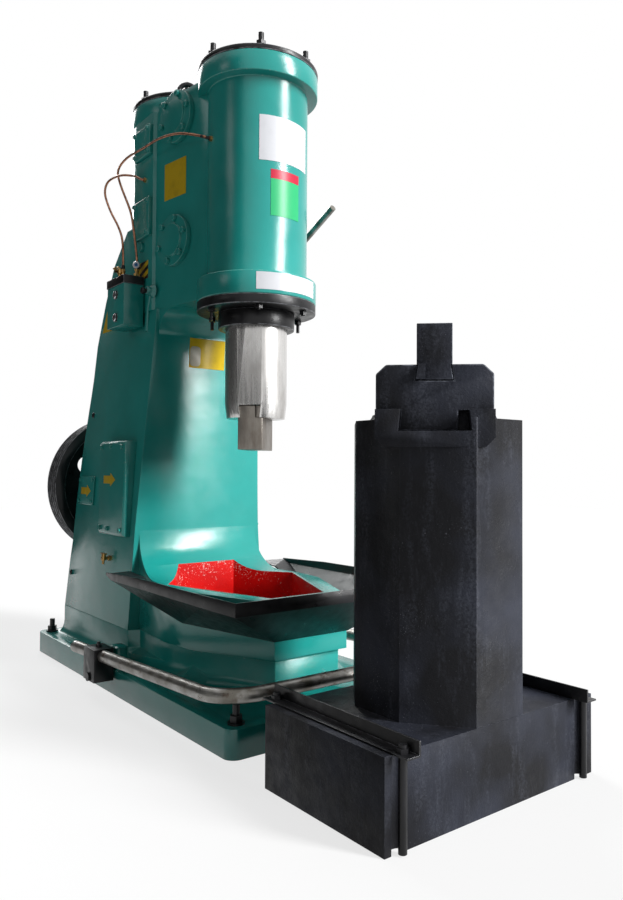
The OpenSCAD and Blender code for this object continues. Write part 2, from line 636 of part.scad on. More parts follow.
// ---- foundation studs ----
module foundation_studs() color(black) at_datum() stud_at() {
    cylinder(d = stud_d, h = bed_t + 62, $fn = 32);
    translate([0, 0, bed_t]) cylinder(d = 56, h = 6);
    translate([0, 0, bed_t + 6]) hex_nut(38, 22);
}

// ---- anvil set standing in front ----
oct_x = 222;
oct_y = 250;
oct = [[95, -oct_y], [oct_x, -92], [oct_x, 92], [95, oct_y]];
module at_anvil() at_datum() translate([anvil_x, -anvil_y, 0]) children();
// holding rods at the front and back, and the angle rails that they pull down
rod_d = 22;
rod_x = [-anvil_w / 2 + 47, anvil_w / 2 - 61];
rod_out = anvil_d / 2 + 12;
rail_x = [rod_x[0] + 22, rod_x[1] - 34]; // inner faces of the rails
rail_w = 44;
rail_h = 38;
rail_t = 5;
rail_over = 50; // reach past the anvil's faces
module anvil() color(black) at_anvil() difference() {
    union() {
        translate([-anvil_w / 2, -anvil_d / 2, 0]) cube([anvil_w, anvil_d, anvil_h]);
        translate([0, 0, anvil_h - e]) linear_extrude(shoulder_z - anvil_h + e)
            polygon(mirror_pts(oct));
        // shoulder curving up to the boss
        rotate_extrude() difference() {
            translate([0, shoulder_z - e]) square([206, boss_z - shoulder_z - 2]);
            translate([206, boss_z + 4]) circle(26);
        }
        diag() translate([-159, -242, 968]) rotate([90, 0, 180]) mirror([1, 0, 0])
            linear_extrude(484) polygon([[0, 24], [24, 0], [294, 0], [318, 24],
                [318, boss_z - 968], [0, boss_z - 968]]);
    }
    // slot for the sow block along the diagonal
    diag() translate([0, 0, boss_z]) rotate([90, 0, 0]) linear_extrude(700, center = true)
        polygon([[-92, 1], [-98, -58], [98, -58], [92, 1]]);
    // grooves for the holding rods on the front and back faces
    for (x = rod_x) for (t = [-1, 1]) translate([x, t * anvil_d / 2, -1])
        cylinder(r = 25, h = anvil_h + 2, $fn = 48);
}
module sow_block() color(black) at_anvil() diag() difference() {
    union() {
        translate([0, 190, 0]) rotate([90, 0, 0]) linear_extrude(380)
            polygon([[-160, boss_z], [160, boss_z], [160, sow_z - 26], [132, sow_z],
                [-132, sow_z], [-160, sow_z - 26]]);
        translate([0, 190, boss_z]) rotate([90, 0, 0]) linear_extrude(380)
            polygon([[-91.5, 0], [-97, -56], [64, -56], [64, 0]]);
    }
    translate([0, 0, sow_z]) rotate([90, 0, 0]) linear_extrude(500, center = true)
        polygon([[-44, 1], [-52, -44], [52, -44], [44, 1]]);
}
module lower_die() color(black) at_anvil() diag() {
    translate([-die_w / 2, -low_die_l / 2, sow_z]) cube([die_w, low_die_l, lower_die_z - sow_z]);
    translate([0, low_die_l / 2, sow_z]) rotate([90, 0, 0]) linear_extrude(low_die_l)
        polygon([[43, 0], [50.5, -42], [-24, -42], [-24, 0]]);
}
module die_key() color(black) at_anvil() diag() translate([0, 180, sow_z]) rotate([90, 0, 0])
    linear_extrude(388) polygon([[-24, -0.3], [-24, -42], [-50.5, -42], [-43.4, -0.3]]);
module sow_key() color(black) at_anvil() diag() translate([0, 150, boss_z]) rotate([90, 0, 0])
    linear_extrude(300) polygon([[64, -0.3], [64, -57], [97.3, -57], [91.6, -0.3]]);
module angle_rails() color(black) at_anvil() for (i = [0, 1]) difference() {
    translate([rail_x[i], -anvil_d / 2 - rail_over, anvil_h]) mirror([1 - i, 0, 0]) {
        cube([rail_w, anvil_d + 2 * rail_over, rail_t]);
        cube([rail_t, anvil_d + 2 * rail_over, rail_h]);
    }
    for (t = [-1, 1]) translate([rod_x[i], t * rod_out, anvil_h - 1])
        cylinder(d = rod_d + 2 * seat_gap, h = rail_t + 2, $fn = 32);
}
module anvil_rods() color(black) at_anvil() for (x = rod_x) for (t = [-1, 1])
    translate([x, t * rod_out, 0]) {
        translate([0, 0, 4]) cylinder(d = rod_d, h = anvil_h + rail_t + 16, $fn = 32);
        translate([0, 0, anvil_h + rail_t]) rotate([0, 0, 30]) hex_nut(28, 12);
    }

bed();
frame_foot();
anvil_collar();
column();
cylinder_block();
ram_cylinder();
ram_cylinder_cover();
compressor_flange();
compressor_cover();
cover_studs();
lifting_eye();
gland_ring();
gland_collar();
gland_bolts();
valve_covers();
side_plates();
lubricator_box();
lubricator_lid();
lubricator_fittings();
oil_pipe_front();
oil_pipe_rear();
oil_unions();
access_cover();
inspection_cover();
drain_cock();
scale_tray();
treadle_pins();
bearing_housing();
foundation_studs();
ram();
ram_key();
top_die();
pulley();
crankshaft();
treadle_pipe();
treadle_clamps();
hand_lever();
anvil();
sow_block();
sow_key();
lower_die();
die_key();
angle_rails();
anvil_rods();
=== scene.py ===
import json
import math

import bmesh
import bpy
from mathutils import Matrix, Vector


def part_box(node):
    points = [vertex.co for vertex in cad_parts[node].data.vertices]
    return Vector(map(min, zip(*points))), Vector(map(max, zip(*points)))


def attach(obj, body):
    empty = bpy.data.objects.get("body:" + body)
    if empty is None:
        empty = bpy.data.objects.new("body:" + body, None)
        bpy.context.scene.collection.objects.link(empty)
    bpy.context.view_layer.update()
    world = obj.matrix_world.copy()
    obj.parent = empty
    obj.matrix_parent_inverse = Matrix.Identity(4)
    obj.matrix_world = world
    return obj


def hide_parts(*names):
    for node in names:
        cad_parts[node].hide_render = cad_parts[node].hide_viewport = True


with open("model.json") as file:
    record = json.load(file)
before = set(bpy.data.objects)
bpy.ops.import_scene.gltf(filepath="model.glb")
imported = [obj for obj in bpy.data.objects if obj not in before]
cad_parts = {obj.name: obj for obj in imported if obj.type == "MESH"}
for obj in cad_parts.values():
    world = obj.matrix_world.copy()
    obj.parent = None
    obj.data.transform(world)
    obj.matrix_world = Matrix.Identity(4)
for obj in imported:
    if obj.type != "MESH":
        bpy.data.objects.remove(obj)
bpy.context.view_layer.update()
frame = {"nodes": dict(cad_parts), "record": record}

# Pneumatic forging hammer: looks, rounded arrises, bare plates, small fittings and the stage.
# Lengths are in metres. Angles are in degrees wherever a call or a constant gives them.

# ---- sizes --------------------------------------------------------------------------
UP = Vector((0, 0, 1))
BARREL_R = 0.202          # ram cylinder
LOW_FLANGE_R = 0.240      # its lower flange
WALL_TAPER = 0.065        # column sides, metre per metre of height
HEAD_SLANT = 0.146        # block's slanting sides, metre per metre towards the back
THROAT_LEAN = 0.068       # throat wall, metre per metre of height
THROAT_NORMAL = (0, -1, -THROAT_LEAN)
LABEL_T = 0.0012          # thickness of a label
PATCH_T = 0.0006          # of the pale patch on one label
SIGN_T = 0.003            # of the triangular sign
PLATE_EDGE = 0.0008       # eased edge of a thin plate


def middle(node):
    low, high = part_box(node)
    return (Vector(low) + Vector(high)) / 2


RAM_AXIS = middle("ram_cylinder")


def at(x, y, z):
    """A place given from the ram axis at floor level."""
    return Vector((RAM_AXIS.x + x, RAM_AXIS.y + y, z))


# ---- camera -------------------------------------------------------------------------
CAMERA_AT = (-1.6676, -3.2177, 0.907)
YAW, PITCH, ROLL = math.radians(38.646), math.radians(1.444), math.radians(-0.293)
FOCAL = 0.849244          # focal length, in sensor heights
SHIFT_X = -0.029173       # sideways shift, in sensor heights
SENSOR = 36.0             # sensor height, in millimetres
FAR_CLIP = 100


def make_camera():
    """Camera in front and to the left, 0.9 m above the floor and nearly level."""
    level = Vector((math.sin(YAW), math.cos(YAW), 0))
    right = Vector((math.cos(YAW), -math.sin(YAW), 0))
    forward = level * math.cos(PITCH) + UP * math.sin(PITCH)
    below = level * math.sin(PITCH) - UP * math.cos(PITCH)
    side = right * math.cos(ROLL) + below * math.sin(ROLL)
    lower = below * math.cos(ROLL) - right * math.sin(ROLL)
    data = bpy.data.cameras.new("camera")
    data.sensor_fit = "VERTICAL"
    data.sensor_height = SENSOR
    data.lens = FOCAL * SENSOR
    data.shift_x = SHIFT_X
    data.clip_end = FAR_CLIP
    camera = bpy.data.objects.new("camera", data)
    axes = (side, -lower, -forward)
    camera.matrix_world = Matrix.Translation(CAMERA_AT) @ Matrix(
        [[axis[i] for axis in axes] for i in range(3)]).to_4x4()
    scene.collection.objects.link(camera)
    scene.camera = camera


# ---- colours, linear ----------------------------------------------------------------
ENAMEL_DARK, ENAMEL_LIGHT = (0.010, 0.25, 0.222), (0.016, 0.3, 0.27)
# arris paint is a little lighter than the flat faces: a painted highlight along the edges, under
# the real worn chips
ARRIS_HIGHLIT_DARK, ARRIS_HIGHLIT_LIGHT = (0.015, 0.28, 0.24), (0.025, 0.33, 0.29)
ENAMEL_CHIP = (0.34, 0.42, 0.38)
BLACK_DARK, BLACK_LIGHT = (0.004, 0.004, 0.0045), (0.011, 0.011, 0.013)
RUBBED_STEEL = (0.42, 0.43, 0.46)
IRON_DARK, IRON_LIGHT = (0.010, 0.0102, 0.012), (0.027, 0.03, 0.042)
IRON_SCUFF, IRON_SPECK = (0.1, 0.108, 0.135), (0.26, 0.27, 0.31)
IRON_ARRIS = (0.14, 0.15, 0.18)
RAM_GREY, DIE_GREY = (0.68, 0.67, 0.655), (0.24, 0.22, 0.195)
OIL_BROWN = (0.085, 0.06, 0.042)
ZINC_DARK, ZINC_LIGHT = (0.15, 0.14, 0.12), (0.36, 0.355, 0.34)
RUST, SOOT = (0.1, 0.066, 0.045), (0.03, 0.027, 0.025)
RED_DARK, RED_LIGHT = (0.42, 0.003, 0.003), (0.56, 0.005, 0.004)
RED_CHIP = (0.5, 0.4, 0.37)
BRASS_BRIGHT, BRASS_DARK = (0.46, 0.29, 0.1), (0.16, 0.095, 0.035)
COPPER_BRIGHT, COPPER_DARK = (0.42, 0.19, 0.11), (0.15, 0.07, 0.045)
PLATING_BRIGHT, PLATING_DARK = (0.55, 0.55, 0.57), (0.2, 0.2, 0.21)
LABEL_YELLOW, LABEL_BLACK = (0.62, 0.42, 0.012), (0.012, 0.012, 0.012)
LABEL_WHITE, LABEL_PALE = (0.6, 0.61, 0.64), (0.5, 0.46, 0.38)
LABEL_GREEN, LABEL_RED = (0.03, 0.42, 0.16), (0.5, 0.02, 0.05)
DIAL_BLUE = (0.03, 0.16, 0.42)
CARD_GREY = (0.03, 0.03, 0.03)


def scaled(color, share, lift=0.0):
    return tuple(share * c + lift for c in color)


# ---- materials ----------------------------------------------------------------------
SWING = (0.3, 0.7)        # nearly all of a noise lies between these
COLOR_A, COLOR_B, COLOR_OUT = 6, 7, 2     # sockets of a colour mix
RIM_FROM, RIM_TO = 0.30, 0.45             # heights over which the red paint gets more chips
BAR_PITCH, BAR_SLOPE = 0.020, 0.35        # half a period of the stripes, and their slant
BAR_EDGE = (0.0107, 0.0113)               # where one colour turns into the other


class Look:
    """A procedural material on the object's own coordinates."""

    def __init__(self, name, rough, metal=0.0, specular=0.5, color=(0.5, 0.5, 0.5)):
        self.material = bpy.data.materials.new(name)
        self.material.use_nodes = True
        self.tree = self.material.node_tree
        self.shader = self.tree.nodes["Principled BSDF"]
        self.shader.inputs["Roughness"].default_value = rough
        self.shader.inputs["Metallic"].default_value = metal
        self.shader.inputs["Base Color"].default_value = (*color, 1)
        self.shader.inputs["Specular IOR Level"].default_value = specular
        self.place = self.tree.nodes.new("ShaderNodeTexCoord").outputs["Object"]
        self.normal = None

    def node(self, kind, values=(), **settings):
        """New node; a value is either a socket to link or a number to set."""
        new = self.tree.nodes.new(kind)
        for key, value in settings.items():
            setattr(new, key, value)
        for key, value in dict(values).items():
            if isinstance(value, bpy.types.NodeSocket):
                self.tree.links.new(value, new.inputs[key])
            else:
                new.inputs[key].default_value = value
        return new

    def axes(self):
        return self.node("ShaderNodeSeparateXYZ", {"Vector": self.place}).outputs

    def noise(self, scale, detail, grain=0.55, stretch=(1, 1, 1)):
        place = self.node("ShaderNodeMapping", {"Vector": self.place, "Scale": stretch})
        return self.node("ShaderNodeTexNoise", {
            "Vector": place.outputs[0], "Scale": scale, "Detail": detail,
            "Roughness": grain}).outputs["Fac"]

    def span(self, value, low, high, to_low=0.0, to_high=1.0):
        """Maps low..high of a value to to_low..to_high, clamped."""
        return self.node("ShaderNodeMapRange", {
            "Value": value, "From Min": low, "From Max": high, "To Min": to_low,
            "To Max": to_high}).outputs[0]

    def patches(self, scale, detail, low, high, share=1.0, grain=0.55, stretch=(1, 1, 1)):
        """Mask that rises from 0 to share where the noise goes from low to high."""
        return self.span(self.noise(scale, detail, grain, stretch), low, high, 0.0, share)

    def compute(self, operation, a, b):
        return self.node("ShaderNodeMath", {0: a, 1: b}, operation=operation).outputs[0]

    def times(self, a, b):
        return self.compute("MULTIPLY", a, b)

    def plus(self, a, b):
        return self.compute("ADD", a, b)

    def blend(self, share, a, b):
        """Colour that goes from a to b with share; each is a socket or a colour."""
        mix = self.node("ShaderNodeMix", {0: share}, data_type="RGBA")
        for key, value in ((COLOR_A, a), (COLOR_B, b)):
            if isinstance(value, bpy.types.NodeSocket):
                self.tree.links.new(value, mix.inputs[key])
            else:
                mix.inputs[key].default_value = (*value, 1)
        return mix.outputs[COLOR_OUT]

    def feed(self, socket, name):
        self.tree.links.new(socket, self.shader.inputs[name])

    def color(self, socket):
        self.feed(socket, "Base Color")

    def rough(self, socket):
        self.feed(socket, "Roughness")

    def metal(self, socket):
        self.feed(socket, "Metallic")

    def rough_drift(self, scale, detail, smooth, dull):
        """Roughness that wanders between smooth and dull."""
        self.rough(self.span(self.noise(scale, detail), *SWING, smooth, dull))

    def bump(self, height, depth, strength):
        values = {"Height": height, "Distance": depth, "Strength": strength}
        if self.normal:
            values["Normal"] = self.normal
        self.normal = self.node("ShaderNodeBump", values).outputs["Normal"]
        self.feed(self.normal, "Normal")

    def relief(self, scale, detail, depth, strength, grain=0.55):
        """Waves, peel or pits in the shape of a noise."""
        self.bump(self.noise(scale, detail, grain), depth, strength)


def enamel(name, dark, light, worn=0.0):
    """Glossy machine enamel over cast iron: slow colour drift, dust, waves and orange peel."""
    k = Look(name, rough=0.2, specular=0.5)
    paint = k.blend(k.patches(2.6, 4, 0.35, 0.65), dark, light)
    dust = k.patches(55, 5, 0.62, 0.78, share=0.35, grain=0.7)
    paint = k.blend(dust, paint, scaled(light, 0.6, 0.03))
    if worn:
        chips = k.times(k.patches(70, 6, 0.56, 0.62, grain=0.75), worn)
        paint = k.blend(chips, paint, ENAMEL_CHIP)
    k.color(paint)
    k.rough_drift(9, 4, 0.15, 0.27)
    k.relief(9, 2, 0.006, 0.3, grain=0.3)
    k.relief(260, 2, 0.0007, 0.5, grain=0.5)
    return k.material


def black_paint(name, worn=0.0):
    """Black brushed paint over rolled steel; worn edges show grey metal."""
    k = Look(name, rough=0.34, specular=0.3)
    paint = k.blend(k.patches(8, 5, 0.35, 0.7), BLACK_DARK, BLACK_LIGHT)
    if worn:
        bare = k.times(k.patches(38, 6, 0.36, 0.56, grain=0.7), worn)
        paint = k.blend(bare, paint, RUBBED_STEEL)
        k.metal(bare)
    k.color(paint)
    k.rough_drift(30, 5, 0.26, 0.46)
    k.relief(120, 4, 0.0008, 0.4, grain=0.6)
    return k.material


def cast_black(name, edge=0.0):
    """Sand-cast iron under thin black: blue-grey scuffs, drips, pale specks, a pitted skin."""
    k = Look(name, rough=0.5, specular=0.1)
    skin = k.blend(k.patches(3.2, 3, 0.42, 0.64, grain=0.5), IRON_DARK, IRON_LIGHT)
    streaks = k.patches(10, 7, 0.5, 0.68, grain=0.72, stretch=(1, 1, 0.2))
    scuffs = k.times(streaks, k.patches(120, 5, 0.4, 0.75, grain=0.7))
    skin = k.blend(k.times(scuffs, 0.75), skin, IRON_SCUFF)
    specks = k.plus(k.noise(300, 2, 0.6), k.times(k.noise(5, 3), 0.4))
    skin = k.blend(k.times(k.span(specks, 0.93, 0.98), 0.6), skin, IRON_SPECK)
    if edge:
        bare = k.times(k.patches(48, 5, 0.4, 0.6, grain=0.7), edge)
        skin = k.blend(bare, skin, IRON_ARRIS)
    k.color(skin)
    k.rough_drift(24, 5, 0.36, 0.58)
    k.relief(20, 3, 0.006, 0.4, grain=0.5)
    k.relief(170, 5, 0.0016, 0.6, grain=0.7)
    return k.material


def turned_steel(name, tint, stain, grain=(1, 1, 0.03), rough=0.26):
    """Ground steel: fine upright grain, dark rubbing bands and brown oil stains."""
    k = Look(name, rough=rough, metal=0.9, specular=0.3)
    lines = k.noise(150, 4, 0.6, grain)
    metal = k.blend(k.span(lines, *SWING), scaled(tint, 0.86), tint)
    bands = k.patches(14, 3, 0.5, 0.75, grain=0.5, stretch=(1, 1, 0.05))
    metal = k.blend(k.times(bands, 0.34), metal, scaled(tint, 0.3))
    oil = k.times(k.patches(8, 6, 0.46, 0.66, grain=0.7, stretch=(1, 1, 0.35)), stain)
    k.color(k.blend(oil, metal, OIL_BROWN))
    k.rough(k.plus(k.span(lines, *SWING, rough - 0.03, rough + 0.05), k.times(oil, 0.2)))
    k.bump(lines, 0.0001, 0.3)
    return k.material


def worn_pipe():
    """Galvanised pipe rubbed bare, with brown rust freckles and soot."""
    k = Look("worn_pipe", rough=0.3, metal=0.85, specular=0.3)
    zinc = k.blend(k.patches(14, 5, 0.35, 0.65), ZINC_DARK, ZINC_LIGHT)
    rust = k.patches(26, 6, 0.55, 0.68, grain=0.7)
    zinc = k.blend(rust, zinc, RUST)
    soot = k.patches(90, 4, 0.64, 0.7, grain=0.7)
    k.color(k.blend(soot, zinc, SOOT))
    k.metal(k.span(k.plus(rust, soot), 0.2, 1.0, 0.75, 0.4))
    k.rough_drift(18, 4, 0.24, 0.46)
    k.relief(140, 4, 0.0005, 0.4)
    return k.material


def red_primer(name, chips):
    """Red paint on raw castings, knocked to pale spots, most of all near the rim."""
    k = Look(name, rough=0.46, specular=0.06)
    red = k.blend(k.patches(6, 4, 0.35, 0.65), RED_DARK, RED_LIGHT)
    near_rim = k.span(k.axes()["Z"], RIM_FROM, RIM_TO, 0.0, 0.11)
    level = k.plus(k.noise(95, 6, 0.8), k.times(k.noise(9, 3), 0.28))
    spots = k.span(k.plus(level, near_rim), chips, chips + 0.035)
    k.color(k.blend(spots, red, RED_CHIP))
    k.relief(120, 5, 0.0018, 0.6, grain=0.7)
    return k.material


def tarnished(name, bright, dark, rough=0.28):
    """Small bright metal parts, dulled in patches."""
    k = Look(name, rough=rough, metal=1.0)
    k.color(k.blend(k.patches(45, 5, 0.38, 0.68, grain=0.65), bright, dark))
    k.rough_drift(60, 4, rough - 0.06, rough + 0.14)
    k.relief(260, 3, 0.0003, 0.4)
    return k.material


def sheet_print(name, color, dirt=0.25):
    """A plain printed or enamelled plate, a little dusty."""
    k = Look(name, rough=0.3, specular=0.2)
    k.color(k.blend(k.patches(20, 5, 0.48, 0.75, share=dirt, grain=0.7), color,
                    scaled(color, 0.55)))
    k.relief(90, 3, 0.0003, 0.3)
    return k.material


def hazard_stripes(name, color, bar):
    """Plain slanting bars in two colours."""
    k = Look(name, rough=0.3, specular=0.2)
    axes = k.axes()
    slant = k.plus(axes["Z"], k.times(axes["Y"], BAR_SLOPE))
    wave = k.compute("PINGPONG", slant, BAR_PITCH)
    edge = k.plus(wave, k.times(k.noise(400, 2), 0.001))
    k.color(k.blend(k.span(edge, *BAR_EDGE), color, bar))
    k.relief(90, 3, 0.0003, 0.3)
    return k.material


GREEN = enamel("green_enamel", ENAMEL_DARK, ENAMEL_LIGHT)
# arrises: lighter paint as a painted highlight, plus real worn chips
GREEN_EDGE = enamel("green_enamel_arris_highlit", ARRIS_HIGHLIT_DARK, ARRIS_HIGHLIT_LIGHT, worn=0.3)
BLACK = black_paint("black_paint")
BLACK_EDGE = black_paint("black_paint_arris", worn=0.45)
LIP_EDGE = black_paint("tray_lip", worn=0.95)
IRON = cast_black("cast_black")
IRON_EDGE = cast_black("cast_black_arris", edge=0.8)
STEEL = turned_steel("ground_steel", RAM_GREY, stain=0.36)
DIE_STEEL = turned_steel("die_steel", DIE_GREY, stain=0.7, grain=(1, 1, 0.1), rough=0.34)
PIPE = worn_pipe()
RED = red_primer("red_primer", 0.83)
CHIPPED = red_primer("chipped_rim", 0.66)
BRASS = tarnished("brass", BRASS_BRIGHT, BRASS_DARK)
COPPER = tarnished("copper", COPPER_BRIGHT, COPPER_DARK, 0.3)
CHROME = tarnished("bright_plating", PLATING_BRIGHT, PLATING_DARK, 0.12)
RUBBER = sheet_print("black_sleeve", LABEL_BLACK)
BLUE_DIAL = sheet_print("blue_dial", DIAL_BLUE)
WHITE_PLATE = sheet_print("white_plate", LABEL_WHITE, 0.12)
GREEN_PLATE = sheet_print("bright_green_plate", LABEL_GREEN, 0.15)
RED_BAND = sheet_print("red_band", LABEL_RED, 0.15)
STRIPED_PLATE = hazard_stripes("striped_plate", LABEL_YELLOW, LABEL_BLACK)
YELLOW_PLATE = sheet_print("yellow_plate", LABEL_YELLOW, 0.5)
PALE_PLATE = sheet_print("pale_plate", LABEL_PALE, 0.4)

SLOT_LOOKS = {            # each slot's flat faces and its arrises
    "green_enamel": (GREEN, GREEN_EDGE),
    "black_paint": (BLACK, BLACK_EDGE),
    "black_cast_iron": (IRON, IRON_EDGE),
    "machined_steel": (STEEL, STEEL),
    "steel_pipe": (PIPE, PIPE),
    "brass_fittings": (BRASS, BRASS),
    "copper_tube": (COPPER, COPPER),
}
OWN_LOOK = {"gland_bolts": BLACK}         # blackened bolts among the bright steel
SUBPARTS = frame["record"]["subparts"]
SLOT_OF = {part["node"]: part["material_slot"] for part in SUBPARTS}
BODY_OF = {node: body for body, nodes in frame["record"]["behaviour"]["bodies"].items()
           for node in nodes}

# ---- mesh helpers -------------------------------------------------------------------
CREASE, CAST_CREASE = 32, 40              # sharper edges than this stay hard
BEND_STEPS = 16                           # facets of a plate bent round the cylinder
PATH_STEPS = 6                            # points added between two points of a pipe's route


def finish_piece(name, bm, looks, body, crease):
    """Turns the mesh into an object that rides on a body."""
    mesh = bpy.data.meshes.new(name)
    bm.to_mesh(mesh)
    bm.free()
    for look in looks:
        mesh.materials.append(look)
    mesh.polygons.foreach_set("use_smooth", [True] * len(mesh.polygons))
    mesh.set_sharp_from_angle(angle=math.radians(crease))
    piece = bpy.data.objects.new(name, mesh)
    bpy.context.scene.collection.objects.link(piece)
    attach(piece, body)
    return piece


def added(name, bm, looks):
    """A detail of the fixed frame."""
    bmesh.ops.recalc_face_normals(bm, faces=bm.faces)
    finish_piece(name, bm, looks, "frame", CREASE)


def facing(place, normal):
    """Local Z along the normal, local Y upwards."""
    z = Vector(normal).normalized()
    x = UP.cross(z).normalized()
    return Matrix.Translation(place) @ Matrix((x, z.cross(x), z)).transposed().to_4x4()


def ring(bm, points, place):
    return [bm.verts.new(place @ Vector(p)) for p in points]


def skin(bm, rings, look=0):
    """Closes a stack of rings of equal count into one solid."""
    faces = [bm.faces.new(rings[0][::-1]), bm.faces.new(rings[-1])]
    for a, b in zip(rings, rings[1:]):
        for i in range(len(a)):
            j = (i + 1) % len(a)
            faces.append(bm.faces.new((a[i], a[j], b[j], b[i])))
    for face in faces:
        face.material_index = look


def lathe(bm, profile, place, steps=28, look=0):
    """Solid of revolution from (radius, height) pairs; 6 steps make a hexagon."""
    angles = [2 * math.pi * i / steps for i in range(steps)]
    rings = [ring(bm, [(radius * math.cos(a), radius * math.sin(a), height) for a in angles],
                  place) for radius, height in profile]
    skin(bm, rings, look)


def plate(bm, outline, thick, place, look=0, edge=PLATE_EDGE):
    """Thin plate with eased edges from an outline in its own plane."""
    cx = sum(p[0] for p in outline) / len(outline)
    cy = sum(p[1] for p in outline) / len(outline)
    reach = max(math.hypot(x - cx, y - cy) for x, y in outline)
    inner = 1 - edge / reach
    rings = [ring(bm, [(cx + (x - cx) * s, cy + (y - cy) * s, h) for x, y in outline], place)
             for s, h in ((1, 0), (1, thick - edge / 2), (inner, thick))]
    skin(bm, rings, look)


def rectangle(width, height, corner=0.0, steps=3):
    """Outline about the origin, with rounded corners if a radius is given."""
    if not corner:
        return [(s * width / 2, t * height / 2) for s, t in ((-1, -1), (1, -1), (1, 1), (-1, 1))]
    points = []
    for k, (s, t) in enumerate(((1, -1), (1, 1), (-1, 1), (-1, -1))):
        for i in range(steps + 1):
            a = math.pi / 2 * (k - 1 + i / steps)
            points.append((s * (width / 2 - corner) + corner * math.cos(a),
                           t * (height / 2 - corner) + corner * math.sin(a)))
    return points


def arrow(length, height):
    """Outline of an arrow that points along local +X."""
    neck, half = length * 0.1, height * 0.3
    return [(-length / 2, -half), (neck, -half), (neck, -height / 2), (length / 2, 0),
            (neck, height / 2), (neck, half), (-length / 2, half)]


def wrapped(bm, radius, start, end, low, high, look):
    """Label bent round the ram cylinder, between two angles and two heights."""
    outer = radius + LABEL_T
    rings = []
    for i in range(BEND_STEPS + 1):
        a = math.radians(start + (end - start) * i / BEND_STEPS)
        rings.append([bm.verts.new(at(r * math.cos(a), r * math.sin(a), z))
                      for r, z in ((radius, low), (outer, low), (outer, high), (radius, high))])
    skin(bm, rings, look)


def tube(bm, points, radius, steps=12):
    """Round bar along points."""
    rings = []
    side = None
    for i, p in enumerate(points):
        a, b = points[max(i - 1, 0)], points[min(i + 1, len(points) - 1)]
        along = (b - a).normalized()
        if side is None:
            side = along.cross(UP if abs(along.z) < 0.9 else Vector((1, 0, 0)))
        side = (side - along * side.dot(along)).normalized()
        up = along.cross(side)
        rings.append([bm.verts.new(p + radius * (math.cos(t) * side + math.sin(t) * up))
                      for t in (2 * math.pi * k / steps for k in range(steps))])
    skin(bm, rings)


def smooth_path(points):
    """Catmull-Rom curve through points."""
    out = []
    for i in range(len(points) - 1):
        a, b = points[max(i - 1, 0)], points[i]
        c, d = points[i + 1], points[min(i + 2, len(points) - 1)]
        for k in range(PATH_STEPS):
            t = k / PATH_STEPS
            out.append(0.5 * (2 * b + (c - a) * t + (2 * a - 5 * b + 4 * c - d) * t * t
                              + (3 * b - a - 3 * c + d) * t ** 3))
    return out + [points[-1]]


# ---- CAD shapes with rounded arrises ------------------------------------------------
WELD = 2e-5               # vertices nearer than this are one
FLAT_ANGLE = 0.6          # faces that turn less than this are one
ARRIS_ANGLE = 26          # edges that turn more than this are rounded
OPENING_HALF_W = 0.302    # region of the anvil opening, from the ram axis
OPENING_FRONT, OPENING_BACK = -0.31, 0.40
COLLAR_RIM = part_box("frame_foot")[1][2] + 0.232
LEVEL_LIMIT = 0.1         # a face is upright while its normal rises less than this
LIP_DEPTH = 0.03          # of the tray's rubbed upper edges


def plain_pick(face, arris):
    """Look of a face: 0 for the flat faces, 1 for the arrises."""
    return int(arris)


def inward(face):
    """True on the walls of the anvil opening, which face the ram axis."""
    out = face.calc_center_median() - RAM_AXIS
    inside = abs(out.x) < OPENING_HALF_W and OPENING_FRONT < out.y < OPENING_BACK
    return inside and face.normal.x * out.x + face.normal.y * out.y < -0.01


def collar_pick(face, arris):
    """2 for the opening's red walls, 3 for their chipped rim."""
    if face.calc_center_median().z < COLLAR_RIM and inward(face):
        if abs(face.normal.z) < LEVEL_LIMIT:
            return 2
        if arris and face.normal.z > LEVEL_LIMIT:
            return 3
    return int(arris)


def tray_pick(face, arris):
    """2 for the tray's upper edges, which are rubbed bare."""
    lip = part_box("scale_tray")[1][2] - LIP_DEPTH
    return 2 if arris and face.calc_center_median().z > lip else int(arris)


def recast(node, width, looks=None, pick=plain_pick):
    """Shows a CAD node's own shape with rounded arrises in its place."""
    source = frame["nodes"][node]
    bm = bmesh.new()
    bm.from_mesh(source.data)
    bm.transform(source.matrix_world)
    bmesh.ops.remove_doubles(bm, verts=bm.verts, dist=WELD)
    bmesh.ops.dissolve_limit(bm, angle_limit=math.radians(FLAT_ANGLE), verts=bm.verts,
                             edges=bm.edges)
    sharp = [e for e in bm.edges if e.is_manifold and len(e.link_faces) == 2
             and e.calc_face_angle(0) > math.radians(ARRIS_ANGLE)]
    made = bmesh.ops.bevel(bm, geom=sharp, offset=width, offset_type="OFFSET",
                           segments=2, profile=0.5, affect="EDGES",
                           clamp_overlap=True, material=-1)
    arrises = set(made["faces"])
    for face in bm.faces:
        face.material_index = pick(face, face in arrises)
    piece = finish_piece("cast_" + node, bm, looks or SLOT_LOOKS[SLOT_OF[node]],
                         BODY_OF[node], CAST_CREASE)
    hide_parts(node)


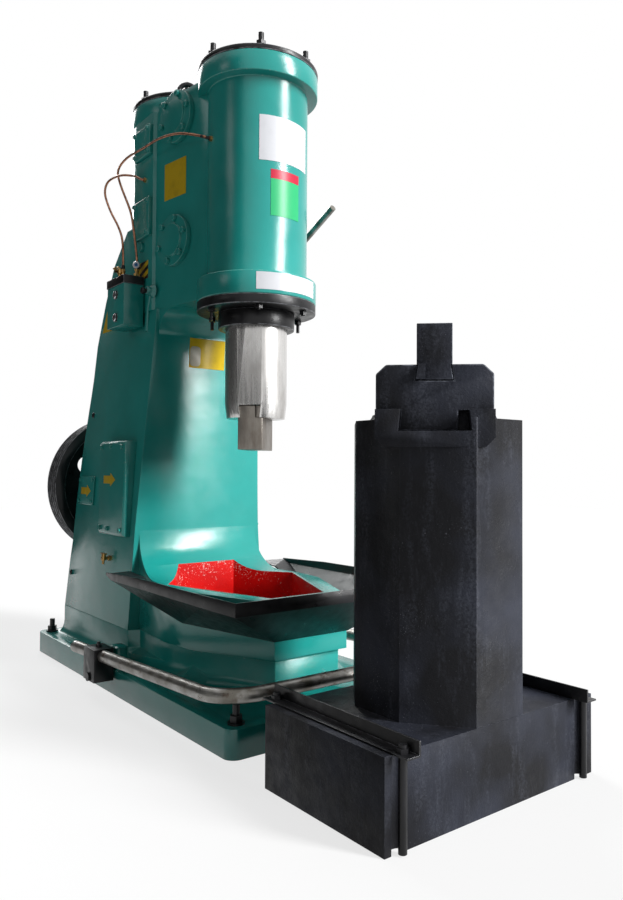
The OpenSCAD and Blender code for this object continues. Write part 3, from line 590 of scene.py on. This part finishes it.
ROUNDED = {               # width of each node's rounded arrises
    "bed": 0.008, "column": 0.011, "cylinder_block": 0.005, "ram_cylinder": 0.004,
    "ram_cylinder_cover": 0.003, "compressor_flange": 0.004, "compressor_cover": 0.003,
    "gland_ring": 0.003, "gland_collar": 0.003, "side_plates": 0.002,
    "lubricator_box": 0.003, "lubricator_lid": 0.0015, "access_cover": 0.004,
    "inspection_cover": 0.002, "bearing_housing": 0.005, "pulley": 0.003,
    "treadle_clamps": 0.004, "anvil": 0.005, "sow_block": 0.004, "lower_die": 0.002,
    "angle_rails": 0.0012, "valve_covers": 0.002,
}
for node_name, rounding in ROUNDED.items():
    recast(node_name, rounding)
recast("frame_foot", 0.006, (GREEN, GREEN_EDGE, RED, CHIPPED), collar_pick)
recast("anvil_collar", 0.005, (GREEN, GREEN_EDGE, RED, CHIPPED), collar_pick)
recast("scale_tray", 0.0012, (BLACK, BLACK_EDGE, LIP_EDGE), tray_pick)
recast("ram", 0.002, (STEEL, STEEL))
recast("top_die", 0.0015, (DIE_STEEL, DIE_STEEL))
recast("ram_key", 0.001, (DIE_STEEL, DIE_STEEL))

for part in SUBPARTS:
    node_mesh = frame["nodes"][part["node"]].data
    node_mesh.materials.clear()
    node_mesh.materials.append(OWN_LOOK.get(part["node"], SLOT_LOOKS[part["material_slot"]][0]))

# ---- bare plates --------------------------------------------------------------------
COVER_TILT = 0.02         # rise of the access cover's normal
COVER_TAPER = 0.0201      # its front face, metre per metre of height
COVER_FACE, COVER_FOOT = 0.3445, 0.623    # that face's distance and height at its lower edge

BARREL_PLATES = (         # name, looks, strips (radius, angles, heights) with one look each
    ("blank_white_plate", [WHITE_PLATE], [(BARREL_R, 239, 306.5, 2.087, 2.262)]),
    ("blank_green_plate", [GREEN_PLATE, RED_BAND],
     [(BARREL_R, 252, 289.5, 1.877, 2.020), (BARREL_R, 252, 289.5, 2.0202, 2.056)]),
    ("blank_white_strip", [WHITE_PLATE], [(LOW_FLANGE_R, 237, 305.5, 1.582, 1.648)]),
)
WALL_PLATES = (           # name, outline, place from the ram axis, normal, look, thickness
    ("slant_wall_plate", rectangle(0.152, 0.156), (-0.2196, 0.295, 2.122),
     (-1, -HEAD_SLANT, 0), YELLOW_PLATE, LABEL_T),
    ("plate_by_lubricator", rectangle(0.096, 0.078), (-0.2541, 0.523, 1.773),
     (-1, 0, 0), STRIPED_PLATE, LABEL_T),
    ("throat_plate", rectangle(0.176, 0.13), (0, 0.4045, 1.417),
     THROAT_NORMAL, YELLOW_PLATE, LABEL_T),
    ("throat_plate_patch", rectangle(0.052, 0.088, 0.016), (-0.060, 0.4037, 1.402),
     THROAT_NORMAL, PALE_PLATE, PATCH_T),
    ("triangle_plate", [(-0.08, -0.046), (0.08, -0.046), (0, 0.092)], (-0.2496, 0.907, 1.606),
     (-1, 0, 0), YELLOW_PLATE, SIGN_T),
    ("cover_arrow", arrow(0.128, 0.058), (-0.3404, 0.662, 0.856),
     (-1, 0, COVER_TILT), YELLOW_PLATE, LABEL_T),
    ("inspection_arrow", arrow(0.122, 0.056), (-0.3088, 1.027, 0.797),
     (-1, 0, WALL_TAPER), YELLOW_PLATE, LABEL_T),
)

for plate_name, plate_looks, strips in BARREL_PLATES:
    plate_mesh = bmesh.new()
    for strip_look, strip in enumerate(strips):
        wrapped(plate_mesh, *strip, strip_look)
    added(plate_name, plate_mesh, plate_looks)
for plate_name, shape, spot, plate_normal, plate_look, thickness in WALL_PLATES:
    plate_mesh = bmesh.new()
    plate(plate_mesh, shape, thickness, facing(at(*spot), plate_normal))
    added(plate_name, plate_mesh, [plate_look])

# ---- screws, plugs and fittings -----------------------------------------------------
SIDES = (-1, 1)           # left and right
COVER_SCREWS = (          # y and z on the access cover
    (0.532, 1.000), (0.656, 1.005), (0.756, 1.000),
    (0.532, 0.640), (0.667, 0.640), (0.756, 0.640))
COVER_HEAD = (0.019, 0.009)               # width across flats and height of its screws
COVER_SEAT, INSPECTION_SEAT = 0.0005, 0.0015      # how deep the screw heads sit
INSPECTION_INSET = (0.014, 0.018)         # screws from the cover's edges, along y and z
INSPECTION_HEAD = (0.016, 0.008)
PLUG_SPOTS = ((0.2742, 1.030, 1.163), (0.3246, 1.169, 0.392))
SIGHT_SPOT = (0.0004, 0.076)              # oil sights from the lubricator's corner, x and y
SIGHT_HEIGHTS = (0.137, 0.038)
BRACKET_BASE, BRACKET_BLOCK = (0.080, 0.130), (0.056, 0.078)      # plan sizes, x and y
BRACKET_BASE_T, BRACKET_BLOCK_H = 0.020, 0.072    # and heights
BRACKET_BOLT = 0.051      # bolts from the bracket's middle, along y
BRACKET_GAP = 0.012       # between a clamp and its bracket
CLAMP_W = 0.080           # of a treadle clamp, along x


def hex_head(bm, place, across, height, look=0):
    """Hexagon head with a chamfered crown on a washer."""
    r = across / math.sqrt(3)
    lathe(bm, [(across * 0.62, 0), (across * 0.62, height * 0.14), (across * 0.6, height * 0.18)],
          place, 24, look)
    lathe(bm, [(r, height * 0.18), (r, height * 0.86), (r * 0.88, height)], place, 6, look)


def cover_screws():
    """Screws on the plates and covers of both sides."""
    low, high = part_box("inspection_cover")
    inset_y, inset_z = INSPECTION_INSET
    bm = bmesh.new()
    for s in SIDES:
        for y, z in COVER_SCREWS:
            x = COVER_FACE - (z - COVER_FOOT) * COVER_TAPER - COVER_SEAT
            hex_head(bm, facing(at(s * x, y, z), (s, 0, COVER_TILT)), *COVER_HEAD)
        for y in (low[1] + inset_y, high[1] - inset_y):
            for z in (low[2] + inset_z, high[2] - inset_z):
                x = high[0] - INSPECTION_SEAT - (z - low[2]) * WALL_TAPER
                place = facing(Vector((s * x, y, z)), (s, 0, WALL_TAPER))
                hex_head(bm, place, *INSPECTION_HEAD)
    added("cover_screws", bm, [GREEN_EDGE])


def wall_plugs():
    """Black plugs in the column's sides."""
    bm = bmesh.new()
    for s in SIDES:
        for x, y, z in PLUG_SPOTS:
            lathe(bm, [(0.013, -0.002), (0.013, 0.003), (0.011, 0.005), (0.006, 0.005),
                       (0.005, 0.001)], facing(at(s * x, y, z), (s, 0, WALL_TAPER)), 24)
    added("column_plugs", bm, [BLACK])


def oil_boss():
    """Cast boss and rib on the wall beside the lubricator, with its black plug."""
    bm = bmesh.new()
    lathe(bm, [(0.030, -0.004), (0.026, 0.004), (0.020, 0.012), (0.019, 0.028), (0.017, 0.031)],
          facing(at(-0.252, 0.434, 1.668), (-1, 0, 0)))
    rib = [at(-0.2535, y, z)
           for y, z in ((0.480, 1.50), (0.480, 1.53), (0.474, 1.60), (0.452, 1.65))]
    tube(bm, rib, 0.009, 14)
    added("oil_boss", bm, [GREEN])
    bm = bmesh.new()
    lathe(bm, [(0.009, 0), (0.009, 0.006), (0.0135, 0.008), (0.0145, 0.014), (0.0125, 0.021),
               (0.006, 0.024)], facing(at(-0.283, 0.430, 1.664), (-1, 0, 0)), 20)
    added("oil_boss_plug", bm, [BLACK])


def sight_plugs():
    """Two oil sights: a hexagon nut round a domed, plated plug."""
    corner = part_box("lubricator_box")[0]
    bm = bmesh.new()
    for rise in SIGHT_HEIGHTS:
        place = facing(corner + Vector((*SIGHT_SPOT, rise)), (-1, 0, 0))
        lathe(bm, [(0.0205, 0), (0.0205, 0.004), (0.0185, 0.006), (0.0175, 0.006)], place, 6, 1)
        lathe(bm, [(0.0165, 0.004), (0.0165, 0.0068), (0.0145, 0.0088), (0.010, 0.0104),
                   (0.004, 0.0112)], place, 28)
    added("oil_sights", bm, [CHROME, BLACK])


def oil_gauge():
    """Small round gauge on a stem beside the front oil pipe."""
    foot = at(-0.291, 0.516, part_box("lubricator_lid")[1][2])
    bm = bmesh.new()
    tube(bm, [foot, foot + Vector((0, 0, 0.035))], 0.005)
    lathe(bm, [(0.011, 0), (0.011, 0.012), (0.009, 0.014)], Matrix.Translation(foot), 6)
    added("gauge_stem", bm, [BRASS])
    bm = bmesh.new()
    place = facing(foot + Vector((0.007, 0.006, 0.050)), (-0.62, -0.78, 0.05))
    rim = [(0.015, 0), (0.0165, 0.002), (0.0165, 0.014), (0.0150, 0.016), (0.0138, 0.0158)]
    dial = [(0.0138, 0.0150), (0.0138, 0.0159)]
    centre = [(0.0075, 0.0156), (0.0075, 0.0163)]
    needle = [(-0.0012, -0.003), (0.0012, -0.003), (0.0004, 0.009), (-0.0004, 0.009)]
    lathe(bm, rim, place, 32)
    lathe(bm, dial, place, 32, 1)
    lathe(bm, centre, place, 24, 3)
    plate(bm, needle, 0.0166, place, 2)
    added("oil_gauge", bm, [CHROME, WHITE_PLATE, RUBBER, BLUE_DIAL])


def oil_tap():
    """Brass tap with a lever on the lubricator's lid."""
    low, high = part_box("lubricator_lid")
    foot = Vector((low[0] + 0.026, low[1] + 0.106, high[2]))
    bm = bmesh.new()
    lathe(bm, [(0.010, 0), (0.010, 0.010), (0.007, 0.012), (0.007, 0.020), (0.011, 0.024),
               (0.011, 0.044), (0.008, 0.048)], Matrix.Translation(foot), 20)
    lathe(bm, [(0.009, 0), (0.009, 0.008), (0.006, 0.010), (0.006, 0.032), (0.009, 0.034),
               (0.009, 0.042)], facing(foot + Vector((0.020, 0, 0.034)), (-1, 0, 0)), 6)
    lever = [foot + Vector(p)
             for p in ((0, 0, 0.050), (-0.004, 0.012, 0.055), (-0.006, 0.036, 0.056))]
    grip = [foot + Vector((-0.006, y, 0.056)) for y in (0.034, 0.050)]
    tube(bm, smooth_path(lever), 0.003, 10)
    tube(bm, grip, 0.0055)
    added("oil_tap", bm, [BRASS])


def pipe_sleeves():
    """Black sleeve where the front pipe leaves its union, and ferrules above the fittings."""
    bm = bmesh.new()
    sleeve = [at(-0.2112, 0.0222, 2.205), at(-0.2162, 0.0242, 2.2058),
              at(-0.222, 0.0315, 2.209), at(-0.2325, 0.050, 2.2170)]
    tube(bm, smooth_path(sleeve), 0.0066, 14)
    fittings_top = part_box("lubricator_fittings")[1][2]
    for x, y in ((-0.279, 0.535), (-0.316, 0.598)):
        lathe(bm, [(0.0085, 0.0004), (0.0085, 0.016), (0.0066, 0.019)],
              Matrix.Translation(at(x, y, fittings_top)), 16)
    added("pipe_sleeves", bm, [RUBBER])


def pivot_brackets():
    """Cast brackets on the bed beside the treadle's clamps, with two bolts each."""
    low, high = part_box("treadle_clamps")
    bed_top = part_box("bed")[1][2]
    inner = high[0] - CLAMP_W - BRACKET_GAP
    y = (low[1] + high[1]) / 2
    for s, name in ((-1, "left"), (1, "right")):
        bm = bmesh.new()
        base = Matrix.Translation(Vector((s * (inner - 0.040), y, bed_top)))
        plate(bm, rectangle(*BRACKET_BASE, 0.014), BRACKET_BASE_T, base, edge=0.004)
        block = Matrix.Translation(Vector((s * (inner - 0.032), y, bed_top + 0.018)))
        plate(bm, rectangle(*BRACKET_BLOCK, 0.020, 5), BRACKET_BLOCK_H, block, edge=0.010)
        for t in SIDES:
            bolt = base @ Matrix.Translation((0, t * BRACKET_BOLT, BRACKET_BASE_T))
            hex_head(bm, bolt, 0.019, 0.012, 1)
        added("pivot_bracket_" + name, bm, [GREEN, GREEN_EDGE])


cover_screws()
wall_plugs()
oil_boss()
sight_plugs()
oil_gauge()
oil_tap()
pipe_sleeves()
pivot_brackets()

# ---- stage --------------------------------------------------------------------------
scene = bpy.context.scene
scene.view_settings.view_transform = "Standard"

WORLD_FILL = 0.115        # white world's strength for diffuse light; it is 1 where seen directly
FLOOR_REACH, FLOOR_DROP = 14.0, 0.0005
FLOOR_SEEN, FLOOR_UNSEEN = 0.85, 0.3      # floor's paint for direct rays and for diffuse light
FLOOR_GLOW = 0.74         # share of glow where the floor is seen directly
CARD_START, CARD_END = 92, 206
CARD_REACH, CARD_HEIGHT, CARD_STEPS = 6.5, 7.0, 24
KEY_AZIMUTH, KEY_SOFTNESS = 298, 13
KEY_LAMPS = ((9, 1.6), (22, 2.3), (37, 2.2))      # elevation and strength


def seen_directly(tree):
    """1 for camera, glossy and transmission rays."""
    path = tree.nodes.new("ShaderNodeLightPath")
    total = path.outputs["Is Camera Ray"]
    for key in ("Is Glossy Ray", "Is Transmission Ray"):
        add = tree.nodes.new("ShaderNodeMath")
        add.operation = "MAXIMUM"
        tree.links.new(total, add.inputs[0])
        tree.links.new(path.outputs[key], add.inputs[1])
        total = add.outputs[0]
    return total


def stage_object(name, bm, material):
    """An object that isn't part of the hammer."""
    mesh = bpy.data.meshes.new(name)
    bm.to_mesh(mesh)
    bm.free()
    mesh.materials.append(material)
    piece = bpy.data.objects.new(name, mesh)
    scene.collection.objects.link(piece)
    return piece


def make_world():
    """White where it is seen, and a weak fill everywhere."""
    world = bpy.data.worlds.new("world")
    world.use_nodes = True
    tree = world.node_tree
    strength = tree.nodes.new("ShaderNodeMapRange")
    tree.links.new(seen_directly(tree), strength.inputs["Value"])
    strength.inputs["To Min"].default_value = WORLD_FILL
    strength.inputs["To Max"].default_value = 1.0
    background = tree.nodes["Background"]
    background.inputs["Color"].default_value = (1, 1, 1, 1)
    tree.links.new(strength.outputs[0], background.inputs["Strength"])
    scene.world = world


def make_floor():
    """Pale floor that reads white and keeps a soft shadow."""
    look = bpy.data.materials.new("pale_floor")
    look.use_nodes = True
    tree = look.node_tree
    seen = seen_directly(tree)
    shader = tree.nodes["Principled BSDF"]
    shader.inputs["Roughness"].default_value = 0.9
    shader.inputs["Specular IOR Level"].default_value = 0.0
    paint = tree.nodes.new("ShaderNodeMix")
    paint.data_type = "RGBA"
    tree.links.new(seen, paint.inputs[0])
    for key, grey in ((COLOR_A, FLOOR_UNSEEN), (COLOR_B, FLOOR_SEEN)):
        paint.inputs[key].default_value = (grey, grey, grey, 1)
    tree.links.new(paint.outputs[COLOR_OUT], shader.inputs["Base Color"])
    glow = tree.nodes.new("ShaderNodeEmission")
    share = tree.nodes.new("ShaderNodeMath")
    share.operation = "MULTIPLY"
    share.inputs[1].default_value = FLOOR_GLOW
    tree.links.new(seen, share.inputs[0])
    mix = tree.nodes.new("ShaderNodeMixShader")
    for key, socket in enumerate((share.outputs[0], shader.outputs[0], glow.outputs[0])):
        tree.links.new(socket, mix.inputs[key])
    tree.links.new(mix.outputs[0], tree.nodes["Material Output"].inputs["Surface"])
    bm = bmesh.new()
    bm.faces.new([bm.verts.new((s * FLOOR_REACH, t * FLOOR_REACH, -FLOOR_DROP))
                  for s, t in ((-1, -1), (1, -1), (1, 1), (-1, 1))])
    stage_object("floor", bm, look)


def make_dark_card():
    """Dim left side of the hall: a curved dark card that only reflections meet."""
    bm = bmesh.new()
    feet = []
    for i in range(CARD_STEPS + 1):
        a = math.radians(CARD_START + (CARD_END - CARD_START) * i / CARD_STEPS)
        feet.append([bm.verts.new((RAM_AXIS.x + CARD_REACH * math.cos(a),
                                   RAM_AXIS.y + CARD_REACH * math.sin(a), z))
                     for z in (0, CARD_HEIGHT)])
    for a, b in zip(feet, feet[1:]):
        bm.faces.new((a[0], a[1], b[1], b[0]))
    card = stage_object("dark_card", bm,
                        Look("dark_card", rough=0.9, specular=0.0, color=CARD_GREY).material)
    card.visible_camera = card.visible_diffuse = card.visible_shadow = False
    card.visible_transmission = False


def make_sun(name, azimuth, elevation, strength, softness):
    """Distant soft lamp; azimuth 0 shines from +X, 270 from the front."""
    a, e = math.radians(azimuth), math.radians(elevation)
    toward = Vector((math.cos(a) * math.cos(e), math.sin(a) * math.cos(e), math.sin(e)))
    lamp = bpy.data.objects.new(name, bpy.data.lights.new(name, "SUN"))
    lamp.data.energy = strength
    lamp.data.angle = math.radians(softness)
    lamp.rotation_euler = toward.to_track_quat("Z", "Y").to_euler()
    scene.collection.objects.link(lamp)


make_camera()
make_world()
make_floor()
make_dark_card()
for number, (key_elevation, key_strength) in enumerate(KEY_LAMPS):
    make_sun("key_%d" % number, KEY_AZIMUTH, key_elevation, key_strength, KEY_SOFTNESS)
make_sun("left_window", 174, 19, 0.14, 13)
make_sun("back", 78, 34, 1.7, 30)
